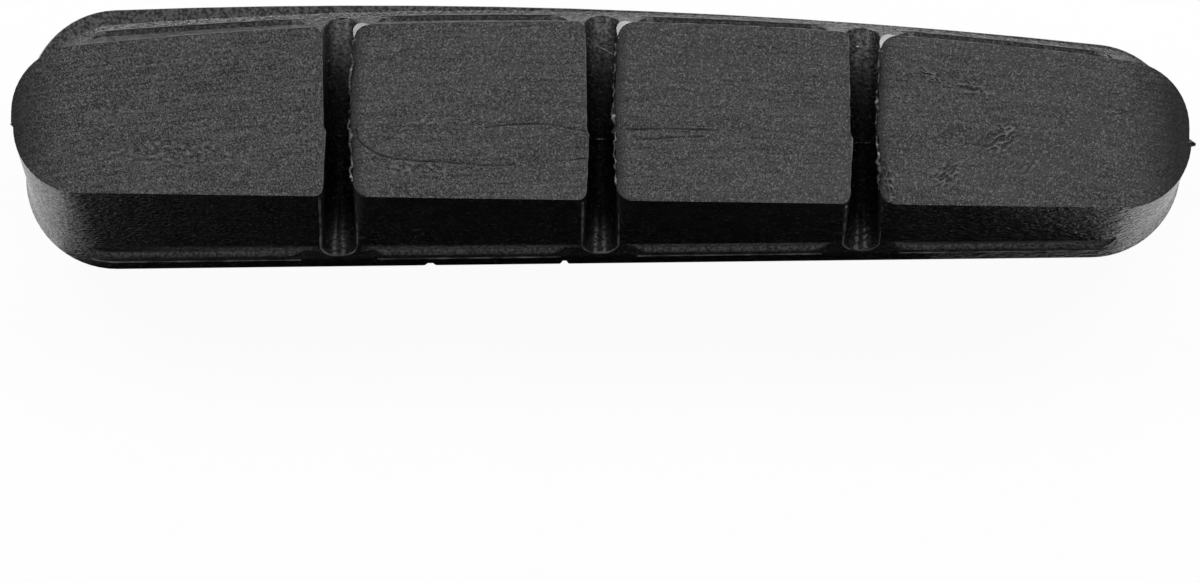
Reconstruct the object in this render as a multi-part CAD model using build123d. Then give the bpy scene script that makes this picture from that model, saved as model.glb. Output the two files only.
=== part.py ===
"""Replaceable friction insert for a road bicycle rim brake, moulded in one piece of black rubber."""
import os
from collections import namedtuple
from math import radians, sqrt, tan

from build123d import *

# All sizes are in millimetres and degrees. +X runs along the pad, +Y points to the tyre and
# +Z out of the friction face. The origin lies on the back of the rail, under the pad's middle.

# Friction face: a straight edge on the hub side, a slow curve on the tyre side
face_length = 55.0
face_hub_side = 3.09
face_tyre_side = 5.26
face_crown_radius = 206.0
face_corner = 3.1

# Side walls, which spread from the face down to their foot on the flange
block_height = 5.4
hub_wall_run = 2.36
hub_wall_flare = 1.15
tyre_wall_run = 0.9
tyre_wall_flare = 5.0
foot_crown_x = -1.8
foot_crown_radius = 235.0

# Flange, the widest part, which lies on the lips of the shoe and narrows to the nose
flange_thickness = 0.8
flange_hub_lean = 0.28
flange_tyre_lean = 0.08
flange_end_lean = 0.15
flange_tyre_lip = 0.15
flange_heel_inset = 0.29
flange_nose_inset = 0.02
flange_taper = 1.5
flange_crown_x = -6.5
flange_crown_radius = 322.0
flange_corner = 4.3

# Cross grooves, which part the friction face into blocks
groove_count = 3
groove_pitch = 12.3
groove_width = 1.24
groove_draft = 1.7
groove_lead_round = 0.4
groove_trail_round = 0.75
groove_foot_round = 0.2

# Wear line, a fine ledge along each block at the depth of the grooves, below a shallow panel
wear_rise = 0.3
wear_depth = 0.25
wear_draft = 5.0
panel_height = 4.5
panel_corner = 1.0
panel_groove_gap = 0.7
panel_end_gap = 3.2

# Rail on the back, which slides into the shoe, and the side slots for the lips of the shoe
rail_width = 8.2
rail_thickness = 2.0
rail_end_inset = 0.7
rail_heel_corner = 1.2
rail_edge_round = 0.3
slot_depth = 1.1
slot_height = 1.3

# Half-round notch in the rail for the screw that keeps the pad in the shoe
notch_radius = 1.5
notch_from_heel = 8.0
notch_neck_gap = 0.15

# Levels, from the back up
flange_under = rail_thickness + slot_height
flange_top = flange_under + flange_thickness
wear_ledge = flange_top + wear_rise
face_level = flange_top + block_height

Outline = namedtuple("Outline", "heel_x nose_x hub_side taper tyre_side crown_x crown_radius corner")


def inset(outline, gap):
    """The same outline, drawn in by an even gap."""
    return outline._replace(
        heel_x=outline.heel_x + gap,
        nose_x=outline.nose_x - gap,
        hub_side=outline.hub_side - gap,
        tyre_side=outline.tyre_side - gap,
        crown_radius=outline.crown_radius - gap,
        corner=outline.corner - gap,
    )


face_outline = Outline(
    heel_x=-face_length / 2,
    nose_x=face_length / 2,
    hub_side=face_hub_side,
    taper=0.0,
    tyre_side=face_tyre_side,
    crown_x=0.0,
    crown_radius=face_crown_radius,
    corner=face_corner,
)
flange_outline = Outline(
    heel_x=face_outline.heel_x + flange_heel_inset,
    nose_x=face_outline.nose_x - flange_nose_inset,
    hub_side=face_hub_side + hub_wall_run + flange_hub_lean,
    taper=flange_taper,
    tyre_side=face_tyre_side + tyre_wall_run + flange_tyre_lip + flange_tyre_lean,
    crown_x=flange_crown_x,
    crown_radius=flange_crown_radius,
    corner=flange_corner,
)
rim_outline = flange_outline._replace(
    heel_x=flange_outline.heel_x + flange_end_lean,
    nose_x=flange_outline.nose_x - flange_end_lean,
    hub_side=flange_outline.hub_side - flange_hub_lean,
    tyre_side=flange_outline.tyre_side - flange_tyre_lean,
    corner=flange_corner - flange_end_lean,
)
foot_outline = rim_outline._replace(
    tyre_side=rim_outline.tyre_side - flange_tyre_lip,
    crown_x=foot_crown_x,
    crown_radius=foot_crown_radius,
)


def wall_outline(level):
    """Outline of the side walls at one level: they draw in fast at the foot and slowly at the face."""
    left = (face_level - level) / block_height
    tyre_fields = ("tyre_side", "crown_x", "crown_radius")
    flares = [tyre_wall_flare if name in tyre_fields else hub_wall_flare for name in Outline._fields]
    pairs = zip(face_outline, foot_outline, flares)
    return Outline(*(high + (low - high) * left**flare for high, low, flare in pairs))


def plan(outline, level=0.0):
    """Closed plan: straight hub edge, curved tyre edge, square ends and four round corners."""
    heel = outline.heel_x
    nose = outline.nose_x
    middle = (heel + nose) / 2
    slope = tan(radians(outline.taper))
    arc_centre = outline.tyre_side - outline.crown_radius

    def hub_y(x):
        return slope * x - outline.hub_side

    def tyre_y(x):
        return arc_centre + sqrt(outline.crown_radius**2 - (x - outline.crown_x) ** 2)

    narrow_end = min(tyre_y(x) - hub_y(x) for x in (heel, nose))
    with BuildSketch() as sketch:
        with BuildLine():
            Line((heel, hub_y(heel)), (nose, hub_y(nose)))
            Line((nose, hub_y(nose)), (nose, tyre_y(nose)))
            ThreePointArc((nose, tyre_y(nose)), (middle, tyre_y(middle)), (heel, tyre_y(heel)))
            Line((heel, tyre_y(heel)), (heel, hub_y(heel)))
        make_face()
        fillet(sketch.vertices(), min(outline.corner, 0.49 * narrow_end))
    return Pos(0, 0, level) * sketch.sketch


def groove_places():
    """Centres of the grooves along the pad, even about its middle."""
    return [groove_pitch * (i - (groove_count - 1) / 2) for i in range(groove_count)]


def groove_half_width(y):
    """Grooves are narrowest on the mould's parting line and widen to both walls."""
    return groove_width / 2 + abs(y) * tan(radians(groove_draft))


# The grooves' round floors end on the walls at the wear line's level
groove_reach = 2 * flange_outline.tyre_side
groove_mouth = groove_half_width(flange_outline.tyre_side)
groove_spring = wear_ledge + groove_mouth


def groove_strip(x):
    """Plan of one groove, past both walls."""
    waist = groove_half_width(0)
    end = groove_half_width(groove_reach)
    right = [(x + end, -groove_reach), (x + waist, 0), (x + end, groove_reach)]
    left = [(x - end, groove_reach), (x - waist, 0), (x - end, -groove_reach)]
    with BuildSketch() as sketch:
        with BuildLine():
            Polyline(*right, *left, close=True)
        make_face()
    return sketch.sketch


def groove_channel(x):
    """Round floor of one groove: two cones that meet on the parting line."""
    foot = (Align.CENTER, Align.CENTER, Align.MIN)
    half_channel = Cone(groove_half_width(0), groove_half_width(groove_reach), groove_reach, align=foot)
    to_hub, to_tyre = [Rot(turn, 0, 0) * half_channel for turn in (90, -90)]
    return Pos(x, 0, groove_spring) * (to_hub + to_tyre)


def round_groove_corners(block, level):
    """Round a block's corners beside its grooves, more at the face than at the foot."""
    height = (level - groove_spring) / (face_level - groove_spring)
    lead = groove_foot_round + (groove_lead_round - groove_foot_round) * height
    trail = groove_foot_round + (groove_trail_round - groove_foot_round) * height
    for x in groove_places():
        for side, radius in ((-1, lead), (1, trail)):
            corners = block.vertices().filter_by(
                lambda v: abs(v.Y) > groove_width and 0 < side * (v.X - x) < 2 * groove_mouth
            )
            if corners:
                block = fillet(corners, radius)
    return block


def block_plans(level):
    """Plans of the blocks at one level, from left to right."""
    whole = plan(wall_outline(level), level)
    for x in groove_places():
        whole -= Pos(0, 0, level) * groove_strip(x)
    return [round_groove_corners(Sketch() + face, level) for face in whole.faces().sort_by(Axis.X)]


def friction_blocks():
    """The blocks, each lofted from where the groove floors spring up to the flat face."""
    middle = (groove_spring + face_level) / 2
    levels = [block_plans(level) for level in (groove_spring, middle, face_level)]
    return [loft(list(plans)) for plans in zip(*levels)]


def web():
    """The rubber round the groove floors, which joins the blocks."""
    middle = (flange_top + groove_spring) / 2
    return loft([plan(wall_outline(level), level) for level in (flange_top, middle, groove_spring)])


def panel_plan(level):
    """Plan of what the panels leave at one level: their floors lean in towards the face."""
    depth = wear_depth + (level - wear_ledge) * tan(radians(wear_draft))
    return plan(inset(wall_outline(wear_ledge), depth), level)


def wear_panels():
    """Cutters for the wear lines: each leaves a fine ledge along the block that faces the rim."""
    panel_top = wear_ledge + panel_height
    kept = loft([panel_plan(level) for level in (wear_ledge - panel_corner, panel_top + panel_corner)])
    stops = [face_outline.heel_x + panel_end_gap]
    for x in groove_places():
        stops += [x - groove_mouth - panel_groove_gap, x + groove_mouth + panel_groove_gap]
    stops.append(face_outline.nose_x - panel_end_gap)
    cutters = []
    for start, end in zip(stops[::2], stops[1::2]):
        window = RectangleRounded(end - start, panel_height, panel_corner)
        window = Pos((start + end) / 2, (wear_ledge + panel_top) / 2) * window
        cutters.append(extrude(Plane.XZ * window, groove_reach, both=True) - kept)
    return cutters


def flange():
    """Flange, whose rim leans in to carry on the walls and leaves a lip on the tyre side."""
    return loft([plan(flange_outline, flange_under), plan(rim_outline, flange_top)])


def rail_plan():
    """Plan of the rail: square heel with small corners, full round nose."""
    heel_x = flange_outline.heel_x + rail_end_inset
    nose_x = flange_outline.nose_x - rail_end_inset - rail_width / 2
    with BuildSketch() as sketch:
        with Locations(((heel_x + nose_x) / 2, 0)):
            Rectangle(nose_x - heel_x, rail_width)
        fillet(sketch.vertices().group_by(Axis.X)[0], rail_heel_corner)
        with Locations((nose_x, 0)):
            Circle(rail_width / 2)
    return sketch.sketch


def rail():
    """Rail with the notch for the keeper screw and rounded back edges."""
    notch_x = flange_outline.heel_x + rail_end_inset + notch_from_heel
    notch_y = slot_depth - rail_width / 2 - notch_neck_gap - notch_radius
    notch = Pos(notch_x, notch_y, rail_thickness / 2) * Cylinder(notch_radius, rail_thickness)
    body = extrude(rail_plan(), rail_thickness) - notch
    return fillet(body.edges().group_by(Axis.Z)[0], rail_edge_round)


def neck():
    """Neck between rail and flange: what the side slots leave."""
    return extrude(Pos(0, 0, rail_thickness) * offset(rail_plan(), -slot_depth), slot_height)


def brake_pad():
    """The whole pad as one solid."""
    body = web()
    for block in friction_blocks():
        body += block
    for x in groove_places():
        body -= groove_channel(x)
    for cutter in wear_panels():
        body -= cutter
    return body + flange() + neck() + rail()


os.makedirs("parts", exist_ok=True)
export_step(brake_pad(), "parts/brake_pad.step")
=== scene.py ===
import math
import bmesh
import bpy
from mathutils import Matrix, Vector, noise
from mathutils.bvhtree import BVHTree


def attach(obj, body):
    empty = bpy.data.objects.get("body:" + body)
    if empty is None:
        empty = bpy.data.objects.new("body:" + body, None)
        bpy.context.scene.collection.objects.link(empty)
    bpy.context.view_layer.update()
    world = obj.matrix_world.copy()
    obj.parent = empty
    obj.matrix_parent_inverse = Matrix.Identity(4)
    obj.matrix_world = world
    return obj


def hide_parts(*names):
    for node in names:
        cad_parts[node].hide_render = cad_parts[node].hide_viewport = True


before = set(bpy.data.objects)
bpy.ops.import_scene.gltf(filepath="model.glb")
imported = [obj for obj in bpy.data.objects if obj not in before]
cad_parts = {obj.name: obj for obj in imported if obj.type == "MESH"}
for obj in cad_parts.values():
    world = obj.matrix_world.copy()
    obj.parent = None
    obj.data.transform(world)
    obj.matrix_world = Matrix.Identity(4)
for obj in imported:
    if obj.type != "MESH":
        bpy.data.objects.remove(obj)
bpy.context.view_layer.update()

# Moulded body
# The pad is one piece of black rubber, pressed in a two-part mould. The halves of this mould don't
# quite meet, so the hub half of the blocks sits a hair further to the nose. The skin is deep black,
# with a satin gloss, the fine grain of the mould, pale grit specks that are partly painted glints,
# and a grey bloom that is partly painted light, on what looks up and on the tyre wall.
mm = 0.001
same_spot = 1e-7
parting_y = 0.05 * mm
mould_step = 0.10 * mm
step_blur = 0.06 * mm
step_foot, step_full = 4.1 * mm, 6.0 * mm

pad = bmesh.new()
pad.from_mesh(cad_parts["brake_pad"].data)
bmesh.ops.remove_doubles(pad, verts=pad.verts, dist=same_spot)


def clamp(value, low=0.0, high=1.0):
    """The value, held between two ends."""
    return min(max(value, low), high)


def stepped(place):
    """Where a point of the true pad lies once the two mould halves are out of line."""
    half = clamp(0.5 - (place.y - parting_y) / step_blur) - 0.5
    rise = clamp((place.z - step_foot) / (step_full - step_foot))
    return Vector((place.x + half * rise * mould_step, place.y, place.z))


def grey(tone):
    """An even grey as an opaque colour."""
    return (tone, tone, tone, 1)


def new_material(name):
    """A new material with nodes, and its node tree."""
    material = bpy.data.materials.new(name)
    material.use_nodes = True
    return material, material.node_tree


def plug(node, inputs):
    """Give inputs of a node a fixed value or the output of another node."""
    for key, value in inputs.items():
        if isinstance(value, bpy.types.NodeSocket):
            node.id_data.links.new(value, node.inputs[key])
        else:
            node.inputs[key].default_value = value


def add_node(tree, kind, inputs=None, **settings):
    """Add a node with its settings and inputs."""
    node = tree.nodes.new(kind)
    for name, value in settings.items():
        setattr(node, name, value)
    plug(node, inputs or {})
    return node


def add_math(tree, operation, *values, clamped=False):
    """Add a sum and return its output."""
    inputs = dict(enumerate(values))
    node = add_node(tree, "ShaderNodeMath", inputs, operation=operation, use_clamp=clamped)
    return node.outputs["Value"]


def add_stretch(tree, place, scale):
    """Add a scaling of a place along its axes and return its output."""
    return add_node(tree, "ShaderNodeMapping", {"Vector": place, "Scale": scale}).outputs["Vector"]


def add_noise(tree, scale, detail, **inputs):
    """Add a noise and return its output, around 0.5."""
    inputs = {"Scale": scale, "Detail": detail, **inputs}
    return add_node(tree, "ShaderNodeTexNoise", inputs).outputs["Fac"]


def add_range(tree, value, span, result=(0.0, 1.0), **settings):
    """Add a map of a value from one span to another, held at its ends, and return its output."""
    names = ("From Min", "From Max", "To Min", "To Max")
    inputs = {"Value": value, **dict(zip(names, (*span, *result)))}
    return add_node(tree, "ShaderNodeMapRange", inputs, **settings).outputs["Result"]


def add_ramp(tree, value, low, high):
    """Add a colour ramp between two stops, each a place and a colour, and return its output."""
    ramp = add_node(tree, "ShaderNodeValToRGB", {"Fac": value})
    for stop, (spot, colour) in zip(ramp.color_ramp.elements, (low, high)):
        stop.position = spot
        stop.color = colour
    return ramp.outputs["Color"]


def add_mix(tree, kind, share, first, second):
    """Add a mix of two numbers (FLOAT) or colours (RGBA) and return its output."""
    inputs = {"Factor": share, "A": first, "B": second}
    return add_node(tree, "ShaderNodeMix", inputs, data_type=kind).outputs["Result"]


def add_mark(tree, name):
    """Add a reading of a mark on the mesh and return its output."""
    return add_node(tree, "ShaderNodeAttribute", attribute_name=name).outputs["Fac"]


moulded_rubber, tree = new_material("moulded_rubber")
where = add_node(tree, "ShaderNodeTexCoord").outputs
along = add_node(tree, "ShaderNodeSeparateXYZ", {"Vector": where["Object"]}).outputs
facing = add_node(tree, "ShaderNodeSeparateXYZ", {"Vector": where["Normal"]}).outputs

cloud = add_noise(tree, 900, 3, Vector=where["Object"])
deep_black, soft_black = (0.006, 0.006, 0.0061, 1), (0.013, 0.013, 0.0132, 1)
black = add_ramp(tree, cloud, (0.3, deep_black), (0.7, soft_black))
# Pale specks in the black: partly grit, partly painted glints.
grit_glint_noise = add_noise(tree, 8000, 3, Vector=where["Object"])
grit_glint_specks = add_mix(tree, "RGBA", add_range(tree, grit_glint_noise, (0.57, 0.70)), black, grey(0.13))
satin = add_range(tree, cloud, (0, 1), (0.24, 0.36))

# The bloom lies on lips, ledges, groove mouths and the tyre wall, but not deep in the grooves. It
# is
# partly painted light: paler where the skin faces up or towards the tyre-side lamps, with painted
# shade deep in the grooves.
looks_up = add_range(tree, facing["Z"], (0.6, 0.97))
tyre_wall = add_range(tree, facing["Y"], (0.5, 0.9), (0, 0.6))
painted_light_facing = add_math(tree, "MAXIMUM", looks_up, tyre_wall)
eased = {"interpolation_type": "SMOOTHSTEP"}
to_tyre = add_range(tree, along["Y"], (0.5 * mm, 4.5 * mm), **eased)
to_hub = add_range(tree, along["Y"], (-3.2 * mm, -4.6 * mm), **eased)
mouths = add_math(tree, "MAXIMUM", to_tyre, to_hub)
painted_light_share = add_math(tree, "MULTIPLY", painted_light_facing, mouths)
light_share_less_recess = add_math(tree, "SUBTRACT", painted_light_share, add_mark(tree, "wear_line_shade"), clamped=True)
pale_grain_noise = add_noise(tree, 7000, 2, Vector=where["Object"])
bloom_and_light = add_ramp(tree, pale_grain_noise, (0.40, grey(0.022)), (0.60, grey(0.086)))
skin_with_painted_light = add_mix(tree, "RGBA", light_share_less_recess, grit_glint_specks, bloom_and_light)
on_ledge_dust_highlight = add_mark(tree, "ledge_dust_and_highlight")
# Pale grey on the hub side's ledges: a painted highlight.
ledge_highlight_grey = add_ramp(tree, pale_grain_noise, (0.38, grey(0.09)), (0.62, grey(0.36)))

# Grain of the mould, with stronger wrinkles towards the nose
hide = add_noise(tree, 1.0, 3, Vector=add_stretch(tree, where["Object"], (4500, 8500, 8500)))
gloss = add_range(tree, hide, (0.38, 0.62), (0, 0.7))
folds = add_stretch(tree, where["Object"], (2700, 4000, 4000))
wrinkle = add_noise(tree, 1.0, 2, Vector=folds, Distortion=0.6)
to_nose = add_range(tree, along["X"], (7 * mm, 15 * mm), (0.5, 3.5))
relief = {
    "Height": add_math(tree, "MULTIPLY_ADD", wrinkle, to_nose, hide),
    "Strength": add_range(tree, looks_up, (0, 1), (1.0, 0.25)),
    "Distance": 0.05 * mm,
}
skin_bump = add_node(tree, "ShaderNodeBump", relief).outputs["Normal"]
plug(
    tree.nodes["Principled BSDF"],
    {
        "Base Color": add_mix(tree, "RGBA", on_ledge_dust_highlight, skin_with_painted_light, ledge_highlight_grey),
        "Roughness": add_math(tree, "MULTIPLY_ADD", on_ledge_dust_highlight, 0.45, satin),
        "IOR": 1.55,
        "Specular Tint": add_ramp(tree, hide, (0.40, grey(0.25)), (0.56, grey(1))),
        "Normal": skin_bump,
        "Coat Weight": add_math(tree, "SUBTRACT", gloss, on_ledge_dust_highlight, clamped=True),
        "Coat Roughness": 0.16,
        "Coat IOR": 1.5,
        "Coat Normal": skin_bump,
    },
)

# Friction face
# The face is cut flat after moulding, which leaves a matt, grainy skin with knife streaks that
# run in slow arcs, hairline creases, and torn spots where the blade dragged the rubber.
face_level = max(v.co.z for v in pad.verts)
same_level = 1e-6
flat_up = 0.99
edge_band = 0.14 * mm
grid = 0.125 * mm
# Sizes and places on the face are in millimetres: first the grooves and the blade's pivot
groove_places = (-12.3, 0.0, 12.3)
groove_half = 0.62
groove_spread = 0.03
pivot_x, pivot_y = 2.3, -160.0
face_sink = 0.012
drag_reach, drag_depth = 0.6, 0.03
# Creases: places along each
creases = [
    [(-5.33, 0.21), (-4.44, 0.36), (-2.81, 0.43), (-2.06, 0.39), (-1.41, 0.22), (-0.66, 0.09)],
    [(-11.48, 0.03), (-11.42, -0.39), (-11.05, -0.76), (-10.39, -1.13), (-9.78, -1.3)],
    [(-9.78, -1.3), (-8.66, -1.38), (-7.03, -1.45), (-5.53, -1.55), (-4.04, -1.5)],
    [(-1.39, -1.23), (-0.64, -1.13)],
    [(1.3, 0.21), (2.09, 0.24), (3.07, 0.3), (4.46, 0.27), (5.44, 0.26)],
    [(1.44, -0.07), (1.63, -0.21), (2.56, -0.2), (3.44, -0.12), (4.7, -0.07)],
]
crease_depth = 0.05
crease_half = 0.035
# Torn spots: place, direction in degrees, half length, half width, height of the ridges
tears = [
    (15.4, 2.95, -25, 0.55, 0.3, 0.09),
    (17.4, 2.35, -14, 1.1, 0.35, 0.06),
    (18.7, 0.05, 40, 1.0, 0.55, 0.09),
    (16.1, -1.6, 38, 0.8, 0.45, 0.09),
    (20.0, -1.3, 34, 0.5, 0.3, 0.05),
    (13.4, -2.0, -75, 1.1, 0.3, 0.08),
    (24.2, 1.3, 10, 0.5, 0.3, 0.05),
    (26.2, -1.4, 40, 0.6, 0.35, 0.05),
]
# Rough patches: place, half length, half width
patches = [
    (-19.8, -1.2, 3.1, 0.6),
    (-22.7, 0.8, 1.1, 0.3),
    (-20.7, 2.3, 0.25, 0.2),
    (-8.3, -1.75, 2.2, 0.35),
    (-8.2, 0.45, 0.8, 0.15),
    (1.5, 3.15, 0.4, 0.2),
]
patch_height = 0.05


def on_face(f):
    """True for what belongs to the flat cut."""
    return f.normal.z > flat_up and all(v.co.z > face_level - same_level for v in f.verts)


def with_bounds(faces):
    """Faces together with their edges and corners."""
    edges = {e for f in faces for e in f.edges}
    verts = {v for f in faces for v in f.verts}
    return list(faces) + list(edges) + list(verts)


def slice_faces(faces, axis, cuts):
    """Cut faces with planes square to one axis and return all that they became."""
    square = Vector([float(i == axis) for i in range(3)])
    for cut in cuts:
        crossed, passed = [], []
        for f in faces:
            reach = [v.co[axis] for v in f.verts]
            is_crossed = min(reach) < cut - same_spot and max(reach) > cut + same_spot
            (crossed if is_crossed else passed).append(f)
        if not crossed:
            continue
        halves = bmesh.ops.bisect_plane(
            pad, geom=with_bounds(crossed), dist=same_spot, plane_co=square * cut, plane_no=square
        )
        faces = passed + [part for part in halves["geom"] if isinstance(part, bmesh.types.BMFace)]
    return faces


def grid_cuts(reach, shift):
    """Places of the grid's lines out to a reach on both sides, part of a step off the middle."""
    count = round(reach / grid)
    return [grid * (i + shift) for i in range(-count, count + 1)]


def crease_gap(x, y):
    """Distance from a place on the face to the nearest crease."""
    nearest = math.inf
    for line in creases:
        for (ax, ay), (bx, by) in zip(line, line[1:]):
            run = (bx - ax) ** 2 + (by - ay) ** 2
            share = clamp(((x - ax) * (bx - ax) + (y - ay) * (by - ay)) / run)
            off_x, off_y = x - ax - share * (bx - ax), y - ay - share * (by - ay)
            nearest = min(nearest, math.hypot(off_x, off_y))
    return nearest


def groove_gap(x, y):
    """Distance from a place on the face back to the groove on its heel side."""
    gaps = [x - g - groove_half - abs(y) * groove_spread for g in groove_places if x > g]
    return min(gaps, default=math.inf)


def cut_height(x, y):
    """Height of the cut skin: streaks about the blade's pivot, grain, slow waves, dragged edges."""
    reach = math.hypot(x - pivot_x, y - pivot_y)
    around = -pivot_y * math.atan2(x - pivot_x, y - pivot_y)
    height = 0.005 * noise.noise((around / 5.0, reach / 0.2, 3.0))
    height += 0.005 * noise.noise((around / 1.8, reach / 0.33, 9.0))
    height += 0.005 * noise.noise((x / 0.2, y / 0.2, 0.0))
    height += 0.005 * noise.noise((x / 0.42, y / 0.36, 5.0))
    height += face_sink * noise.noise((x / 3.0, y / 2.0, 7.0))
    gap = groove_gap(x, y)
    if gap < drag_reach:
        share = 1 - max(gap, 0.0) / drag_reach
        height += share * (-drag_depth + drag_depth * noise.noise((x / 0.28, y / 0.3, 2.0)))
    return height


def torn_share(x, y, tear):
    """Share of a torn spot that a place has, and where it lies along and across that spot."""
    tear_x, tear_y, direction, half_length, half_width, _ = tear
    cos, sin = math.cos(math.radians(direction)), math.sin(math.radians(direction))
    along_it = (x - tear_x) * cos + (y - tear_y) * sin
    across_it = (y - tear_y) * cos - (x - tear_x) * sin
    share = math.exp(-((along_it / half_length) ** 2) - (across_it / half_width) ** 2)
    return share, along_it, across_it


def torn_height(x, y):
    """Height of the torn spots' sharp ridges."""
    height = 0.0
    for tear in tears:
        share, along_it, across_it = torn_share(x, y, tear)
        if share > 0.02:
            bend = 0.5 * noise.noise((x / 0.6, y / 0.6, tear[0]))
            fold = noise.noise((along_it / 0.4 + bend, across_it / 0.14 + 2 * bend, tear[0]))
            ridge = 1.0 - min(abs(fold) / 0.25, 1.0) - 0.4
            crumb = 0.4 * noise.noise((x / 0.15, y / 0.15, tear[1]))
            height += share * tear[-1] * (ridge + crumb)
    return height


def rough_share(x, y):
    """How rough the skin is at a place on the face, from 0 to 1."""
    gaps = [
        ((x - patch_x) / half_length) ** 2 + ((y - patch_y) / half_width) ** 2
        for patch_x, patch_y, half_length, half_width in patches
    ]
    ragged = 0.7 * noise.noise((x / 0.9, y / 0.5, 4.0))
    return math.exp(-(max(min(gaps) + ragged, 0.0) ** 2))


band_level = face_level - edge_band
tall = [f for f in pad.faces if max(v.co.z for v in f.verts) > band_level and not on_face(f)]
slice_faces(tall, 2, [band_level])
bmesh.ops.dissolve_faces(pad, faces=[f for f in pad.faces if on_face(f)])
skin = [f for f in pad.faces if min(v.co.z for v in f.verts) > band_level - same_level]
skin = slice_faces(skin, 0, grid_cuts(28.75 * mm, 0.31))
slice_faces(skin, 1, grid_cuts(7.5 * mm, 0.43))

# The grid is finer round creases, torn spots and rough patches
fine_reach, fine_share = 0.17, 0.15
fine_edges = set()
for f in pad.faces:
    if on_face(f) and len(f.verts) == 4:
        x, y, _ = f.calc_center_median() / mm
        roughest = max(rough_share(x, y), *(torn_share(x, y, tear)[0] for tear in tears))
        if crease_gap(x, y) < fine_reach or roughest > fine_share:
            fine_edges.update(f.edges)
bmesh.ops.subdivide_edges(pad, edges=list(fine_edges), cuts=2, use_grid_fill=True)

# Marks on the moulded skin: dust with a painted highlight on the hub side's ledges, and less bloom,
# as painted shade, in the tyre side's wear-line recesses
wear_ledge, panel_top = 4.4 * mm, 5.6 * mm
groove_clear = 1.2
wall_lean = 0.13
inner_dust_highlight, outer_dust_highlight, recess_shade = 0.95, 0.15, 0.55
recess_shade_mark = pad.faces.layers.float.new("wear_line_shade")
ledge_dust_light_mark = pad.verts.layers.float.new("ledge_dust_and_highlight")
for f in pad.faces:
    middle = f.calc_center_median()
    clear = all(abs(middle.x / mm - g) > groove_clear for g in groove_places)
    looks_out = f.normal.z > 0.25 and abs(f.normal.y) < 0.2
    on_step = clear and looks_out and wear_ledge - same_level < middle.z < panel_top
    on_panel = f.normal.y > 0.5 and f.normal.z < wall_lean and wear_ledge < middle.z < panel_top
    # Hub-side ledges: dust and a painted highlight, strongest by the inner wall.
    if on_step and middle.y < 0:
        for v in f.verts:
            walls = [near.normal for near in v.link_faces]
            inner = any(wall.y < -0.9 and abs(wall.z) < wall_lean for wall in walls)
            v[ledge_dust_light_mark] = inner_dust_highlight if inner else outer_dust_highlight
    # The tyre side's wear-line recess gets less bloom: painted shade in the recess.
    elif on_panel or (on_step and f.normal.z > flat_up):
        f[recess_shade_mark] = recess_shade

# Relief of the cut skin, and its marks: painted shade at the ends, along dragged edges, in hollows,
# in creases and along the rim beside each groove, and painted highlights on the ridges
heel_shade, nose_shade, shade_length = 24.6, 24.1, 2.7
drag_shade = 0.55
rim_near, rim_far = 0.08, 1.2
end_mark = pad.verts.layers.float.new("end_shade")
edge_shade_mark = pad.verts.layers.float.new("dragged_edge_shade")
shade_line_mark = pad.verts.layers.float.new("painted_shade_line")
ridge_highlight_mark = pad.verts.layers.float.new("painted_ridge_highlight")
cut_faces = [f for f in pad.faces if on_face(f)]
for f in cut_faces:
    f.material_index = 1
cut_verts = {v for f in cut_faces for v in f.verts}
cut_rim = {v for v in cut_verts if not all(on_face(f) for f in v.link_faces)}
for v in cut_verts:
    x, y = v.co.x / mm, v.co.y / mm
    past = abs(x) - (heel_shade if x < 0 else nose_shade)
    v[end_mark] = clamp(past / shade_length) ** 1.5
    behind_groove = groove_gap(x, y)
    # A darker band behind each groove: painted shade on the dragged, rolled edge.
    v[edge_shade_mark] = clamp(1 - behind_groove / drag_shade)
    broken = clamp(0.85 + 0.9 * noise.noise((x / 0.6, y / 0.6, 8.0)), 0.4)
    crease = broken * math.exp(-((crease_gap(x, y) / crease_half) ** 2))
    crumbly = noise.noise((x / 0.24, y / 0.16, 6.0)) + 0.4 * noise.noise((x / 0.1, y / 0.1, 1.0))
    torn = torn_height(x, y) + patch_height * rough_share(x, y) * crumbly
    v[shade_line_mark] = max(0.8 * crease, clamp(-torn / 0.06, 0.0, 0.45))
    # Ridges of the torn spots are painted paler: a painted highlight.
    v[ridge_highlight_mark] = clamp((torn - 0.004) / 0.04, 0.0, 0.75)
    # The cut face's rim beside the grooves gets a painted shadow line.
    if v in cut_rim and rim_near < behind_groove < rim_far:
        v[shade_line_mark] = 0.95
    v.co.z += (cut_height(x, y) + torn - face_sink - crease_depth * crease) * mm

# Two nicks in the lower edge of the flange on the hub side: place, half width, depth
flange_under = 3.3 * mm
hub_edge = -4.8 * mm


def at_flange_edge(v):
    """True for a corner on the level of the flange's lower edge."""
    return abs(v.co.z - flange_under) < same_level


for nick_x, nick_half, nick_depth in ((-8.0, 0.20, 0.12), (-1.65, 0.15, 0.15)):
    hub_faces = [f for f in pad.faces if f.normal.y < -0.8 and any(map(at_flange_edge, f.verts))]
    slice_faces(hub_faces, 0, [(nick_x + nick_half * i / 3) * mm for i in range(-6, 7)])
    for v in pad.verts:
        if at_flange_edge(v) and v.co.y < hub_edge:
            off = (v.co.x / mm - nick_x) / nick_half
            v.co.y += nick_depth * mm * math.exp(-(off**4))

for v in pad.verts:
    v.co = stepped(v.co)
bmesh.ops.recalc_face_normals(pad, faces=pad.faces)
for f in pad.faces:
    f.smooth = True
sharp = math.radians(28)
for e in pad.edges:
    sides = [f.material_index for f in e.link_faces]
    e.smooth = sides == [1, 1] or (sides == [0, 0] and e.calc_face_angle() < sharp)


def add_object(name, data):
    """A new object in the scene."""
    thing = bpy.data.objects.new(name, data)
    bpy.context.collection.objects.link(thing)
    return thing


def add_vector(tree, operation, inputs):
    """Add a sum of vectors and return its output."""
    return add_node(tree, "ShaderNodeVectorMath", inputs, operation=operation).outputs["Vector"]


body_mesh = bpy.data.meshes.new("pad_body")
pad.to_mesh(body_mesh)
body = add_object("pad_body", body_mesh)

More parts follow.
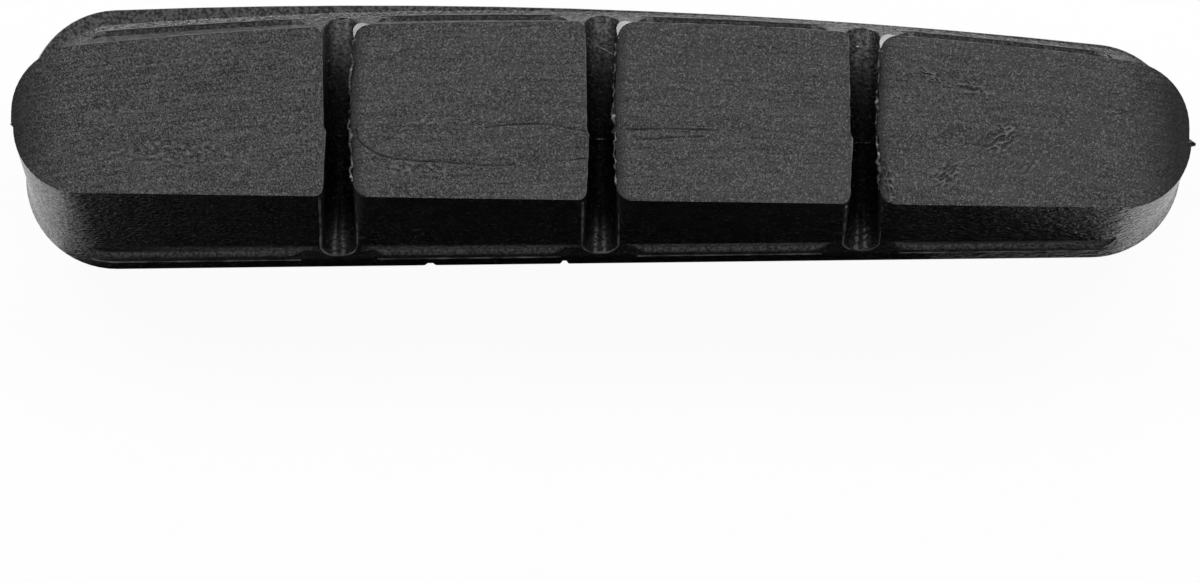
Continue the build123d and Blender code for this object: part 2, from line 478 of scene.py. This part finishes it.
cut_rubber, tree = new_material("cut_rubber")
place = add_node(tree, "ShaderNodeTexCoord").outputs["Object"]

# Knife streaks: arcs about the blade's pivot
blade_pivot = (pivot_x * mm, pivot_y * mm, 0.0)
from_pivot = add_vector(tree, "SUBTRACT", {0: place, 1: blade_pivot})
flat = add_vector(tree, "MULTIPLY", {0: from_pivot, 1: (1, 1, 0)})
radius = add_node(tree, "ShaderNodeVectorMath", {0: flat}, operation="LENGTH").outputs["Value"]
along = add_node(tree, "ShaderNodeSeparateXYZ", {"Vector": flat}).outputs
arc = add_node(tree, "ShaderNodeCombineXYZ", {"X": along["X"], "Y": radius}).outputs["Vector"]
streak = add_noise(tree, 1.0, 3, Vector=add_stretch(tree, arc, (450, 7000, 1)))
sweep = add_noise(tree, 1.0, 2, Vector=add_stretch(tree, arc, (110, 1200, 1)))

# Grain, coarser at the heel and in some areas
speck = add_noise(tree, 15000, 3, Vector=place, Roughness=0.7)
swing = add_math(tree, "SUBTRACT", add_mix(tree, "FLOAT", 0.22, speck, streak), 0.5)
coarse_side = add_range(tree, along["X"], (-22 * mm, 4 * mm), (1.55, 0.82))
area = add_noise(tree, 260, 1, Vector=place)
coarse_area = add_range(tree, area, (0.35, 0.65), (0.65, 1.35))
coarse = add_math(tree, "MULTIPLY", coarse_side, coarse_area)
middling = add_range(tree, sweep, (0, 1), (0.46, 0.54))
grain = add_math(tree, "MULTIPLY_ADD", swing, coarse, middling)
tone = add_ramp(tree, grain, (0.41, grey(0.015)), (0.59, grey(0.084)))

# Pale chips and painted highlights on ridges; painted shade at the ends, along dragged edges, in
# pits and in creases
chip = add_noise(tree, 11000, 2, Vector=place)
pale_chip = add_range(tree, chip, (0.56, 0.66), (0, 0.7))
chips_and_ridge_highlight = add_math(tree, "MAXIMUM", pale_chip, add_mark(tree, "painted_ridge_highlight"))
chipped = add_mix(tree, "RGBA", chips_and_ridge_highlight, tone, grey(0.17))
shade = add_math(tree, "MAXIMUM", add_mark(tree, "end_shade"), add_mark(tree, "dragged_edge_shade"))
part_shade = add_math(tree, "MULTIPLY", shade, 0.85)
shaded = add_mix(tree, "RGBA", part_shade, chipped, grey(0.012))
# Dark pits are painted shade.
pit_shade = add_range(tree, chip, (0.34, 0.26), (0, 0.8))
painted_shade_line = add_math(tree, "MAXIMUM", pit_shade, add_mark(tree, "painted_shade_line"))
grain_bump = {"Height": grain, "Strength": 1.0, "Distance": 0.03 * mm}
plug(
    tree.nodes["Principled BSDF"],
    {
        "Base Color": add_mix(tree, "RGBA", painted_shade_line, shaded, grey(0.002)),
        "Roughness": 0.75,
        "Specular IOR Level": 0.2,
        "Normal": add_node(tree, "ShaderNodeBump", grain_bump).outputs["Normal"],
    },
)

body_mesh.materials.append(moulded_rubber)
body_mesh.materials.append(cut_rubber)
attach(body, "root")
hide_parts("brake_pad")

# Torn edges
# The knife tears the edge of each groove that it meets, which leaves a ragged fringe of rubber with
# loose crumbs. One loose whisker lies across the middle groove. Both hang on the face.
burr_step = 0.06
burr_level = 9.475
edge_slope = 0.0297
edge_low, edge_high = -2.4, 4.2
whisker = [(-0.72, 4.22), (-0.4, 4.18), (0.0, 4.05), (0.35, 3.85), (0.72, 3.6)]
whisker_level = 9.42


def new_lines():
    """An empty mesh for lines of burr."""
    lines = bmesh.new()
    lines.verts.layers.float.new("torn")
    return lines


def burr_line(lines, points, torn=0.0, tip=None):
    """Add a line of burr, with points in millimetres, torn as given at its start and its tip."""
    change = 0.0 if tip is None else tip - torn
    last = None
    for i, (x, y, z) in enumerate(points):
        v = lines.verts.new(stepped(Vector((x, y, z)) * mm))
        v[lines.verts.layers.float["torn"]] = torn + change * i / (len(points) - 1)
        if last:
            lines.edges.new((last, v))
        last = v


def spaced(start, end, count):
    """Places from start to end in as many even steps."""
    return [start + (end - start) * i / count for i in range(count + 1)]


def burr_tree():
    """Nodes that turn lines into a bead of uneven thickness with crumbs on it."""
    tree = bpy.data.node_groups.new("burr", "GeometryNodeTree")
    new_socket = tree.interface.new_socket
    new_socket("Lines", in_out="INPUT", socket_type="NodeSocketGeometry")
    for name in ("Bead", "Fringe", "Uneven", "Sway", "Crumb"):
        new_socket(name, in_out="INPUT", socket_type="NodeSocketFloat")
    new_socket("Seed", in_out="INPUT", socket_type="NodeSocketInt")
    new_socket("Rubber", in_out="INPUT", socket_type="NodeSocketMaterial")
    new_socket("Burr", in_out="OUTPUT", socket_type="NodeSocketGeometry")
    given = add_node(tree, "NodeGroupInput").outputs
    mark = add_node(tree, "GeometryNodeInputNamedAttribute", {"Name": "torn"}, data_type="FLOAT")
    torn = mark.outputs["Attribute"]

    # Torn lines sway
    ragged = add_node(tree, "ShaderNodeTexNoise", {"Scale": 2600, "Detail": 2}).outputs["Color"]
    swing = add_vector(tree, "SUBTRACT", {0: ragged, 1: (0.62, 0.5, 0.45)})
    sway = add_math(tree, "MULTIPLY", given["Sway"], torn)
    offset = add_vector(tree, "SCALE", {0: swing, "Scale": sway})
    moved = {"Geometry": given["Lines"], "Offset": offset}
    bent = add_node(tree, "GeometryNodeSetPosition", moved).outputs["Geometry"]

    # A round bead grows on the lines, thicker where they are torn
    thick = add_mix(tree, "FLOAT", torn, given["Bead"], given["Fringe"])
    uneven = add_range(tree, add_noise(tree, 1500, 3), (0.4, 0.65), (0.05, 1.7))
    rough = add_mix(tree, "FLOAT", given["Uneven"], 1.0, uneven)
    ring = {"Resolution": 7, "Radius": 1.0}
    circle = add_node(tree, "GeometryNodeCurvePrimitiveCircle", ring)
    tube = {
        "Curve": add_node(tree, "GeometryNodeMeshToCurve", {"Mesh": bent}).outputs["Curve"],
        "Profile Curve": circle.outputs["Curve"],
        "Scale": add_math(tree, "MULTIPLY", thick, rough),
        "Fill Caps": True,
    }
    bead = add_node(tree, "GeometryNodeCurveToMesh", tube).outputs["Mesh"]

    # Crumbs hang on some points of the torn lines
    def add_random(kind, output, **ends):
        """Add a random value and return its output."""
        inputs = {"Seed": given["Seed"], **ends}
        return add_node(tree, "FunctionNodeRandomValue", inputs, data_type=kind).outputs[output]

    few = {0: add_random("FLOAT", 1), 1: add_math(tree, "MULTIPLY", torn, 0.2)}
    chosen = add_node(tree, "FunctionNodeCompare", few, operation="LESS_THAN")
    lump = {"Radius": 1.0, "Subdivisions": 1}
    size = add_random("FLOAT_VECTOR", 0, Min=(0.4, 0.4, 0.25), Max=(1.4, 1.8, 0.7))
    scattered = {
        "Points": bent,
        "Selection": chosen.outputs["Result"],
        "Instance": add_node(tree, "GeometryNodeMeshIcoSphere", lump).outputs["Mesh"],
        "Rotation": add_random("FLOAT_VECTOR", 0, Max=(6.28, 6.28, 6.28)),
        "Scale": add_vector(tree, "SCALE", {0: size, "Scale": given["Crumb"]}),
    }
    crumbs = add_node(tree, "GeometryNodeInstanceOnPoints", scattered).outputs["Instances"]

    both = add_node(tree, "GeometryNodeJoinGeometry", {"Geometry": bead})
    plug(both, {"Geometry": crumbs})
    real = add_node(tree, "GeometryNodeRealizeInstances", {"Geometry": both.outputs["Geometry"]})
    coated = {"Geometry": real.outputs["Geometry"], "Material": given["Rubber"]}
    coat = add_node(tree, "GeometryNodeSetMaterial", coated)
    add_node(tree, "NodeGroupOutput", {"Burr": coat.outputs["Geometry"]})
    return tree


burr_nodes = burr_tree()


def grow_burr(name, lines, settings):
    """Run the burr nodes on a mesh of lines and keep the result as a plain mesh."""
    line_mesh = bpy.data.meshes.new(name + "_lines")
    lines.to_mesh(line_mesh)
    lines.free()
    holder = add_object(name, line_mesh)
    grower = holder.modifiers.new("burr", "NODES")
    grower.node_group = burr_nodes
    for item in burr_nodes.interface.items_tree:
        if item.in_out == "INPUT" and item.name in settings:
            grower[item.identifier] = settings[item.name]
    grown = holder.evaluated_get(bpy.context.evaluated_depsgraph_get())
    mesh = bpy.data.meshes.new_from_object(grown)
    holder.modifiers.remove(grower)
    holder.data = mesh
    mesh.name = name
    for polygon in mesh.polygons:
        polygon.use_smooth = True
    return holder


torn_rubber, tree = new_material("torn_rubber")
place = add_node(tree, "ShaderNodeTexCoord").outputs["Object"]
crumbled = add_noise(tree, 1700, 2, Vector=place)
pale_crumbs = add_ramp(tree, crumbled, (0.52, grey(0.016)), (0.72, grey(0.30)))
plug(tree.nodes["Principled BSDF"], {"Base Color": pale_crumbs, "Roughness": 0.6})

torn_lines = new_lines()
edge_places = spaced(edge_low, edge_high, round((edge_high - edge_low) / burr_step))
for g in groove_places:
    edge = [(g + groove_half + abs(y) * edge_slope, y, burr_level) for y in edge_places]
    burr_line(torn_lines, edge, torn=1.0)
burr_line(torn_lines, [(x, y, whisker_level) for x, y in whisker])
fringe = grow_burr(
    "torn_edges",
    torn_lines,
    {
        "Bead": 0.02 * mm,
        "Fringe": 0.06 * mm,
        "Uneven": 1.0,
        "Sway": 0.45 * mm,
        "Crumb": 0.06 * mm,
        "Seed": 4,
        "Rubber": torn_rubber,
    },
)
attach(fringe, "root")

# Parting flash
# Rubber that crept between the two mould halves stands as a thin fin down both ends of the pad,
# and ends at the cut face in a small torn nub.
fin_foot, fin_top = 3.4, 9.46
nub_level, nub_lean, nub_steps, nub_tip = 9.30, 0.06, 7, 0.25
wall_finder = BVHTree.FromBMesh(pad)
pad.free()
fins = new_lines()
# Each end: side, place across, start and length of the nub, how torn it is
for side, fin_y, nub_start, nub_length, nub_torn in (
    (-1, 0.08, -0.12, 0.18, 0.55),
    (1, -0.02, -0.20, 0.36, 1.0),
):
    fin = []
    for z in spaced(fin_foot, fin_top, 59):
        outside = Vector((side * 0.05, fin_y * mm, z * mm))
        hit = wall_finder.ray_cast(outside, Vector((-side, 0, 0)))[0]
        fin.append((hit.x / mm, fin_y, z))
    burr_line(fins, fin)
    nub = []
    for i in range(nub_steps + 1):
        x = fin[-1][0] + side * (nub_start + nub_length * i / nub_steps)
        nub.append((x, fin_y - nub_lean * i / nub_steps, nub_level))
    burr_line(fins, nub, torn=nub_torn, tip=nub_tip)
flash = grow_burr(
    "parting_flash",
    fins,
    {
        "Bead": 0.03 * mm,
        "Fringe": 0.24 * mm,
        "Uneven": 0.25,
        "Sway": 0.02 * mm,
        "Crumb": 0.03 * mm,
        "Seed": 9,
        "Rubber": moulded_rubber,
    },
)
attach(flash, "root")

# Wear line lips
# A fine rounded lip, moulded with the wall, runs along each block: on the tyre side at the edge of
# the wear line's ledge, and on the hub side, where it is rubbed pale, at the flange's top edge. Its
# rubber is painted paler than the skin, a painted highlight on the lip, and paler still on the hub
# side.
lip_spans = [(-24.0, -14.1), (-10.5, -1.8), (1.8, 10.5), (14.1, 24.0)]
lip_levels = {-1: 4.12, 1: 4.385}
# The lip rubber is rubbed paler and painted paler still: a painted highlight on its rounding.
rubbed_highlight_rubber, tree = new_material("rubbed_highlight_rubber")
place = add_node(tree, "ShaderNodeTexCoord").outputs["Object"]
rub = add_noise(tree, 1500, 3, Vector=place)
rubbed_highlight_tone = add_ramp(tree, rub, (0.35, grey(0.03)), (0.7, grey(0.12)))
across = add_node(tree, "ShaderNodeSeparateXYZ", {"Vector": place}).outputs["Y"]
hub_highlight_gain = add_range(tree, across, (-3.0 * mm, -4.5 * mm), (1.0, 3.6))
paler_highlight = add_vector(tree, "SCALE", {0: rubbed_highlight_tone, "Scale": hub_highlight_gain})
plug(tree.nodes["Principled BSDF"], {"Base Color": paler_highlight, "Roughness": 0.4})


def wall_y(x, z, side):
    """Where the pad's wall on one side lies, at a place along and up the pad in millimetres."""
    outside = Vector((x * mm, side * 0.02, z * mm))
    return wall_finder.ray_cast(outside, Vector((0, -side, 0)))[0].y / mm


lips = new_lines()
for start, end in lip_spans:
    for side, z in lip_levels.items():
        burr_line(lips, [(x, wall_y(x, z, side), z) for x in spaced(start, end, 40)])
wear_lips = grow_burr(
    "wear_lips", lips, {"Bead": 0.04 * mm, "Uneven": 0.25, "Seed": 2, "Rubber": rubbed_highlight_rubber}
)
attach(wear_lips, "root")

# Groove rims
# The mould leaves a small round on the edge of each groove's mouth in the tyre wall, from the face
# down round the arch and up again.
rim_half, rim_outset, rim_sink = 0.81, 0.06, 0.02
rim_top, groove_spring = 9.0, 5.21


def arch(g, half, top, leg_steps, arc_steps):
    """Outline of a groove as places along and up the pad: down, round the floor and up again."""
    rise = top - groove_spring
    places = [(g - half, top - rise * i / leg_steps) for i in range(leg_steps)]
    for i in range(arc_steps + 1):
        angle = math.pi * i / arc_steps
        places.append((g - half * math.cos(angle), groove_spring - half * math.sin(angle)))
    places += [(g + half, groove_spring + rise * (i + 1) / leg_steps) for i in range(leg_steps)]
    return places


def mouth_rim(g, side):
    """Points of the rim round a groove's mouth, just outside its edge and a little in the wall."""
    points = []
    for x, z in arch(g, rim_half, rim_top, 30, 24):
        x += rim_outset if x > g else -rim_outset
        points.append((x, wall_y(x, z, side) - side * rim_sink, z))
    return points


rims = new_lines()
for g in groove_places:
    burr_line(rims, mouth_rim(g, 1))
groove_rims = grow_burr(
    "groove_rims", rims, {"Bead": 0.06 * mm, "Uneven": 0.2, "Seed": 3, "Rubber": moulded_rubber}
)
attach(groove_rims, "root")

# Groove seams
# Where the two mould halves meet in a groove, a fine seam of rubber runs down one wall, across the
# floor and up the other.
seam_top = 9.40
seams = new_lines()
for g in groove_places:
    seam = arch(g, groove_half, seam_top, 40, 16)
    burr_line(seams, [(x, parting_y / mm, z) for x, z in seam])
groove_seams = grow_burr(
    "groove_seams", seams, {"Bead": 0.04 * mm, "Uneven": 0.7, "Seed": 7, "Rubber": moulded_rubber}
)
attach(groove_seams, "root")

# Hub groove rims
# The grooves' mouths in the hub wall have the same small round, moulded with that wall, rubbed
# paler and painted paler still as a highlight.
hub_rims = new_lines()
for g in groove_places:
    burr_line(hub_rims, mouth_rim(g, -1))
hub_groove_rims = grow_burr(
    "hub_groove_rims", hub_rims, {"Bead": 0.06 * mm, "Uneven": 0.3, "Seed": 6, "Rubber": rubbed_highlight_rubber}
)
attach(hub_groove_rims, "root")

# Knife beads
# The knife turns up a fine bead of rubber along the edges that it leaves: the heel side of each
# groove and the tyre side of each block.
bead_low, bead_high = -2.75, 4.75
tyre_bead_level = 9.468
tyre_spans = ((-24.2, -13.5), (-10.8, -1.2), (1.5, 11.1), (13.8, 24.2))
face_side, face_crown = 5.26, 206


def tyre_edge(x):
    """Where the face's curved edge on the tyre side lies, in millimetres."""
    return face_side - x**2 / (2 * face_crown)


beads = new_lines()
bead_places = spaced(bead_low, bead_high, 80)
for g in groove_places:
    burr_line(beads, [(g - groove_half - abs(y) * edge_slope, y, burr_level) for y in bead_places])
for start, end in tyre_spans:
    burr_line(beads, [(x, tyre_edge(x), tyre_bead_level) for x in spaced(start, end, 80)])
# The beads are in the pale lip rubber: a painted highlight along the cut edges.
knife_beads = grow_burr(
    "knife_beads", beads, {"Bead": 0.026 * mm, "Uneven": 0.5, "Seed": 5, "Rubber": rubbed_highlight_rubber}
)
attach(knife_beads, "root")

# Corner flats
# Beside each groove the mould gives the blocks' tyre-side corners a small smooth flat, which the
# knife leaves standing just under the cut face.
flat_radius, flat_inset = 0.75, 0.77
flat_level, flat_lean, flat_foot = 9.36, 0.33, 7.8
flat_inner, flat_bulge, flat_root = 0.93, 0.36, 0.96
flat_rubber, tree = new_material("flat_rubber")
place = add_node(tree, "ShaderNodeTexCoord").outputs["Object"]
haze = add_noise(tree, 2500, 2, Vector=place)
hazy = add_ramp(tree, haze, (0, grey(0.012)), (1, grey(0.05)))
smooth = add_range(tree, haze, (0, 1), (0.18, 0.30))
plug(tree.nodes["Principled BSDF"], {"Base Color": hazy, "Roughness": smooth})

wedges = bmesh.new()
for g in groove_places:
    centre_x = g + flat_inset + flat_radius
    centre_y = tyre_edge(centre_x) - flat_radius
    rows = []
    for i in range(13):
        angle = math.pi / 2 * i / 12
        outer = 1 + flat_bulge * math.sin(2 * angle) ** 2
        row = []
        for part, is_foot in ((flat_inner, False), (outer, False), (flat_root, True)):
            dx = -part * flat_radius * math.cos(angle)
            dy = part * flat_radius * math.sin(angle)
            top = flat_level - flat_lean * (dy - dx - 1.42 * flat_radius)
            corner = Vector((centre_x + dx, centre_y + dy, flat_foot if is_foot else top))
            row.append(wedges.verts.new(stepped(corner * mm)))
        rows.append(row)
    for near, far in zip(rows, rows[1:]):
        for j in range(3):
            wedges.faces.new((near[j], near[(j + 1) % 3], far[(j + 1) % 3], far[j]))
    wedges.faces.new(rows[0])
    wedges.faces.new(rows[-1])
bmesh.ops.recalc_face_normals(wedges, faces=wedges.faces)
flats_mesh = bpy.data.meshes.new("corner_flats")
wedges.to_mesh(flats_mesh)
wedges.free()
flats_mesh.materials.append(flat_rubber)
corner_flats = add_object("corner_flats", flats_mesh)
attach(corner_flats, "root")

# Stage
# A sheet of white paper lies under the pad, with a strip of black card on it beside the hub wall,
# out of the picture, to keep that wall dark.
paper, tree = new_material("white_paper")
paper_shader = tree.nodes["Principled BSDF"]
plug(paper_shader, {"Base Color": grey(0.93), "Roughness": 0.9})
ray = add_node(tree, "ShaderNodeLightPath").outputs
in_sight = add_math(tree, "MAXIMUM", ray["Is Camera Ray"], ray["Is Glossy Ray"])
lit_paper = {
    "Fac": add_math(tree, "MULTIPLY", in_sight, 0.95),
    1: paper_shader.outputs["BSDF"],
    2: add_node(tree, "ShaderNodeEmission").outputs["Emission"],
}
surface = add_node(tree, "ShaderNodeMixShader", lit_paper).outputs["Shader"]
plug(tree.nodes["Material Output"], {"Surface": surface})
paper.cycles.emission_sampling = "NONE"


def add_sheet(name, corners, level, material):
    """A flat sheet with its corners in metres, at one level."""
    mesh = bpy.data.meshes.new(name)
    mesh.from_pydata([(x, y, level) for x, y in corners], [], [tuple(range(len(corners)))])
    mesh.materials.append(material)
    return add_object(name, mesh)


paper_corners = [(-2, -2), (2, -2), (2, 2), (-2, 2)]
sheet = add_sheet("floor", paper_corners, -0.02 * mm, paper)

card, tree = new_material("black_card")
dead_black = {"Base Color": grey(0.002), "Roughness": 1.0, "Specular IOR Level": 0.0}
plug(tree.nodes["Principled BSDF"], dead_black)
card_far = [(-27.2, -120), (25.9, -120)]
card_near = [(25.9, -6.4), (16.0, -6.45), (12.5, -6.1)]
card_corners = [(x * mm, y * mm) for x, y in [(-27.2, -6.4), *card_far, *card_near]]
strip = add_sheet("card_strip", card_corners, 0.2 * mm, card)
strip.visible_camera = False
strip.visible_shadow = False

# Light
# Two large soft boxes stand on the tyre side, left and right of the pad, with a low strip between
# them, and two weaker boxes hang high above its ends. The room is dim.
room = bpy.data.worlds.new("room")
room.use_nodes = True
bpy.context.scene.world = room
tree = room.node_tree
in_camera = add_node(tree, "ShaderNodeLightPath").outputs["Is Camera Ray"]
brightness = add_range(tree, in_camera, (0, 1), (0.008, 1.0))
plug(tree.nodes["Background"], {"Color": grey(1), "Strength": brightness})
pad_middle = Vector((0, 0, 0.005))


def soft_box(name, spot, size, power):
    """A rectangular lamp that is aimed at the pad."""
    lamp = bpy.data.lights.new(name, "AREA")
    lamp.shape = "RECTANGLE"
    lamp.size, lamp.size_y = size
    lamp.energy = power
    box = add_object(name, lamp)
    box.location = spot
    aim = pad_middle - Vector(spot)
    box.rotation_euler = aim.to_track_quat("-Z", "Y").to_euler()


soft_box("left_key", (-0.35, 0.45, 0.50), (0.3, 0.2), 3.1)
soft_box("right_key", (0.35, 0.45, 0.50), (0.3, 0.2), 3.1)
soft_box("low_strip", (0.0, 0.60, 0.17), (0.45, 0.10), 2.0)
soft_box("left_fill", (-0.40, -0.08, 0.70), (0.5, 0.3), 0.58)
soft_box("right_fill", (0.40, -0.08, 0.70), (0.5, 0.3), 0.58)

# Camera
# The camera looks down on the face from 400 mm, leaning a little to the hub side. The picture is
# 1200 pixels wide, at 21.45 pixels to the millimetre.
distance = 400
picture_width = 1200 / 21.45
sensor_width = 36
tilt = math.radians(2.6)
roll = math.radians(-0.814)
target = Vector((0.00005, -0.007325, 0.0095))
back = Vector((0, -math.sin(tilt), math.cos(tilt)))
level_up = Vector((0, math.cos(tilt), math.sin(tilt)))
level_right = Vector((1, 0, 0))
right = level_right * math.cos(roll) - level_up * math.sin(roll)
up = level_up * math.cos(roll) + level_right * math.sin(roll)
camera = add_object("camera", bpy.data.cameras.new("camera"))
turned = Matrix((right, up, back)).transposed().to_4x4()
camera.matrix_world = Matrix.Translation(target + back * (distance * mm)) @ turned
camera.data.sensor_width = sensor_width
camera.data.lens = sensor_width * distance / picture_width
camera.data.clip_start = 0.01
bpy.context.scene.camera = camera
bpy.context.scene.view_settings.view_transform = "Standard"
